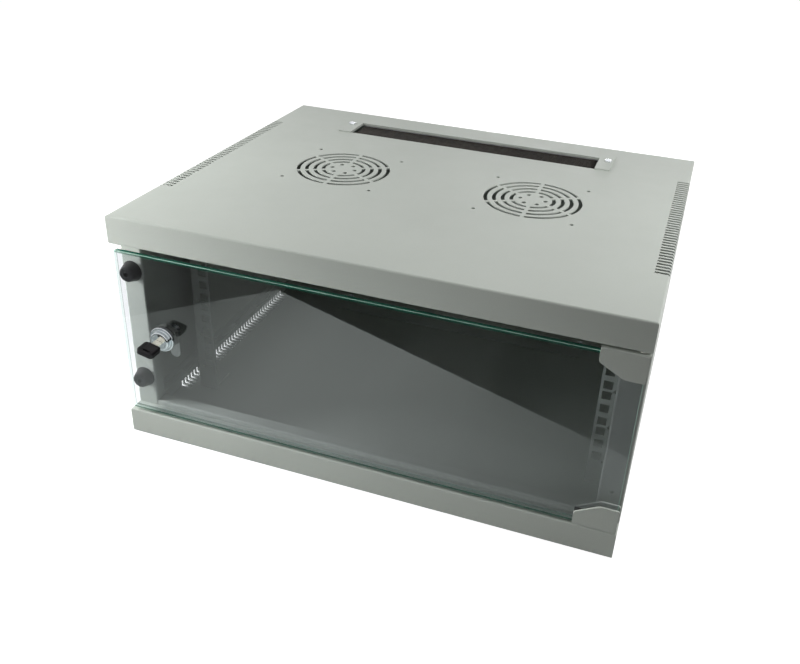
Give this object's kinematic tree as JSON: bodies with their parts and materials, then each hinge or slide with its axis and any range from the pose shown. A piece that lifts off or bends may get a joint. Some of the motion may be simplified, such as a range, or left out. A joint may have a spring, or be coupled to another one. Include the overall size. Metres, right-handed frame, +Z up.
{
  "type": "wall mount network cabinet",
  "caption": "Shallow wall mount rack cabinet: pressed trays with side vents and fan grilles, clear frameless glass door with a cam lock, square-hole rails, brush cable entry.",
  "frame": {"origin": "centre of the four wall fixing holes, on the back plane that meets the wall", "axes": "+X to the right seen from the front, +Y from the door to the wall, +Z up"},
  "size_m": [0.54, 0.484, 0.2659],
  "materials": {
    "grey_paint": "light grey powder coat, fine texture, satin",
    "zinc": "bright zinc plate",
    "chrome": "polished",
    "nickel": "nickel plated, satin",
    "black_plastic": "fine grain",
    "clear_glass": "clear toughened glass with ground edges",
    "bristle": "black nylon filament",
    "aluminium": "mill",
    "black_rubber": "matt",
    "nylon": "natural"
  },
  "bodies": {
    "cabinet": {"blanking_screws": "zinc", "bottom_tray": "grey_paint", "brush_bristles": "bristle", "brush_holder": "aluminium", "brush_plate": "grey_paint", "brush_screws": "zinc", "bumper_lower": "black_rubber", "bumper_upper": "black_rubber", "cable_blanking_plate": "grey_paint", "earth_nut": "zinc", "earth_stud": "zinc", "front_header": "grey_paint", "front_post_left": "grey_paint", "front_post_right": "grey_paint", "front_sill": "grey_paint", "hinge_washer_bottom": "nylon", "hinge_washer_top": "nylon", "panel_grommets_left": "nylon", "panel_grommets_right": "nylon", "rail_left": "grey_paint", "rail_right": "grey_paint", "rear_panel": "grey_paint", "rear_post_left": "grey_paint", "rear_post_right": "grey_paint", "top_tray": "grey_paint"},
    "door": {"hinge_bracket_bottom": "grey_paint", "hinge_bracket_top": "grey_paint", "hinge_clamp_screws_bottom": "zinc", "hinge_clamp_screws_top": "zinc", "hinge_gasket_bottom": "black_rubber", "hinge_gasket_top": "black_rubber", "hinge_pin_bottom": "zinc", "hinge_pin_top": "zinc", "door_glass": "clear_glass", "lock_housing": "chrome", "lock_washer": "zinc", "lock_nut": "zinc"},
    "lock": {"lock_plug": "chrome", "lock_cam": "zinc", "cam_screw": "zinc"},
    "key": {"key_blade": "nickel", "key_bow": "black_plastic"},
    "side_left": {"side_panel_left": "grey_paint", "panel_studs_left": "zinc"},
    "side_right": {"side_panel_right": "grey_paint", "panel_studs_right": "zinc"}
  },
  "joints": [
    {"name": "door_hinge", "type": "hinge", "parent": "cabinet", "child": "door", "pos_m": [0.263, -0.444, 0], "axis": [0, 0, 1], "range_deg": [0, 180]},
    {"name": "lock_turn", "type": "hinge", "parent": "door", "child": "lock", "pos_m": [-0.218, -0.45, 0.001], "axis": [0, 1, 0], "range_deg": [0, 90]},
    {"name": "key_withdraw", "type": "slide", "parent": "lock", "child": "key", "axis": [0, -1, 0], "range_m": [0, 0.03]},
    {"name": "side_panel_left_off", "type": "slide", "parent": "cabinet", "child": "side_left", "axis": [-1, 0, 0], "range_m": [0, 0.1]},
    {"name": "side_panel_right_off", "type": "slide", "parent": "cabinet", "child": "side_right", "axis": [1, 0, 0], "range_m": [0, 0.1]}
  ]
}
